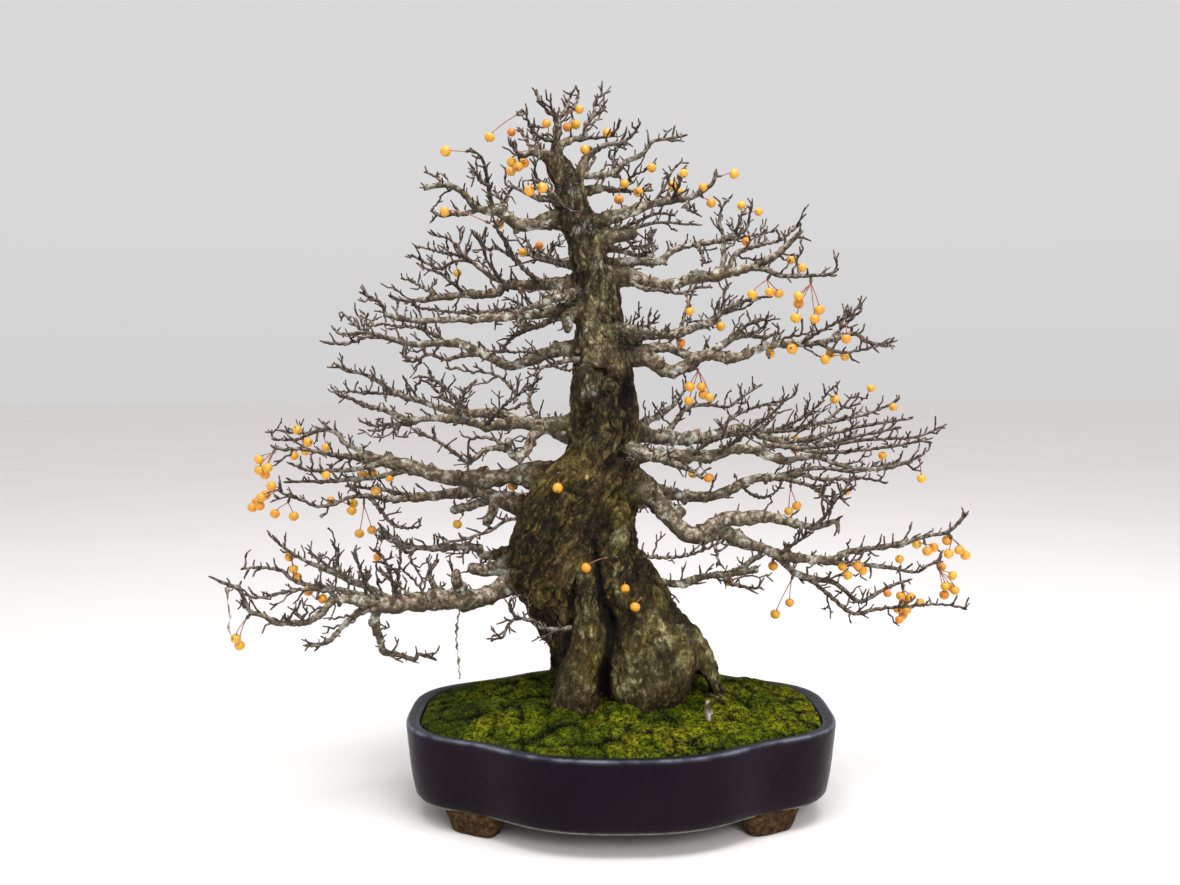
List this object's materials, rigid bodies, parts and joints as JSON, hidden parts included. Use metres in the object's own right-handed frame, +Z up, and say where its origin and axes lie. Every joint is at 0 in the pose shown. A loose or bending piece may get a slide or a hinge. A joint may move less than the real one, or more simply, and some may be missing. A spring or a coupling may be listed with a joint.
{
  "type": "crabapple bonsai",
  "caption": "Old crabapple bonsai in winter: bare branches with small yellow fruits, in a mossy, four-lobed glazed pot on four feet.",
  "frame": {"origin": "on the surface that the feet stand on, under the middle of the whole object's width and depth", "axes": "+X to the right along the branches' widest spread, +Y from the front to the back, +Z up"},
  "size_m": [0.8314, 0.4188, 0.8079],
  "materials": {
    "bark": "rough, flaking bark with lichen",
    "ripe_fruit": "waxy skin",
    "moss": "dense, velvety cushions",
    "soil": "granular",
    "glazed_stoneware": "dark glossy glaze, bare clay feet",
    "drain_mesh": "matt"
  },
  "bodies": {
    "root": {"tree_wood": "bark", "fruit_01": "ripe_fruit", "fruit_02": "ripe_fruit", "fruit_03": "ripe_fruit", "fruit_04": "ripe_fruit", "fruit_05": "ripe_fruit", "fruit_06": "ripe_fruit", "fruit_07": "ripe_fruit", "fruit_08": "ripe_fruit", "fruit_09": "ripe_fruit", "fruit_10": "ripe_fruit", "fruit_11": "ripe_fruit", "fruit_12": "ripe_fruit", "fruit_13": "ripe_fruit", "fruit_14": "ripe_fruit", "fruit_15": "ripe_fruit", "fruit_16": "ripe_fruit", "fruit_17": "ripe_fruit", "fruit_18": "ripe_fruit", "fruit_19": "ripe_fruit", "fruit_20": "ripe_fruit", "fruit_21": "ripe_fruit", "fruit_22": "ripe_fruit", "fruit_23": "ripe_fruit", "fruit_24": "ripe_fruit", "fruit_25": "ripe_fruit", "fruit_26": "ripe_fruit", "fruit_27": "ripe_fruit", "fruit_28": "ripe_fruit", "fruit_29": "ripe_fruit", "fruit_30": "ripe_fruit", "fruit_31": "ripe_fruit", "fruit_32": "ripe_fruit", "fruit_33": "ripe_fruit", "fruit_34": "ripe_fruit", "fruit_35": "ripe_fruit", "fruit_36": "ripe_fruit", "fruit_37": "ripe_fruit", "fruit_38": "ripe_fruit", "fruit_39": "ripe_fruit", "fruit_40": "ripe_fruit", "fruit_41": "ripe_fruit", "fruit_42": "ripe_fruit", "fruit_43": "ripe_fruit", "fruit_44": "ripe_fruit", "fruit_45": "ripe_fruit", "fruit_46": "ripe_fruit", "fruit_47": "ripe_fruit", "fruit_48": "ripe_fruit", "fruit_49": "ripe_fruit", "fruit_50": "ripe_fruit", "fruit_51": "ripe_fruit", "fruit_52": "ripe_fruit", "fruit_53": "ripe_fruit", "fruit_54": "ripe_fruit", "moss": "moss", "soil": "soil", "pot": "glazed_stoneware", "drain_screen_left": "drain_mesh", "drain_screen_right": "drain_mesh"}
  },
  "joints": []
}
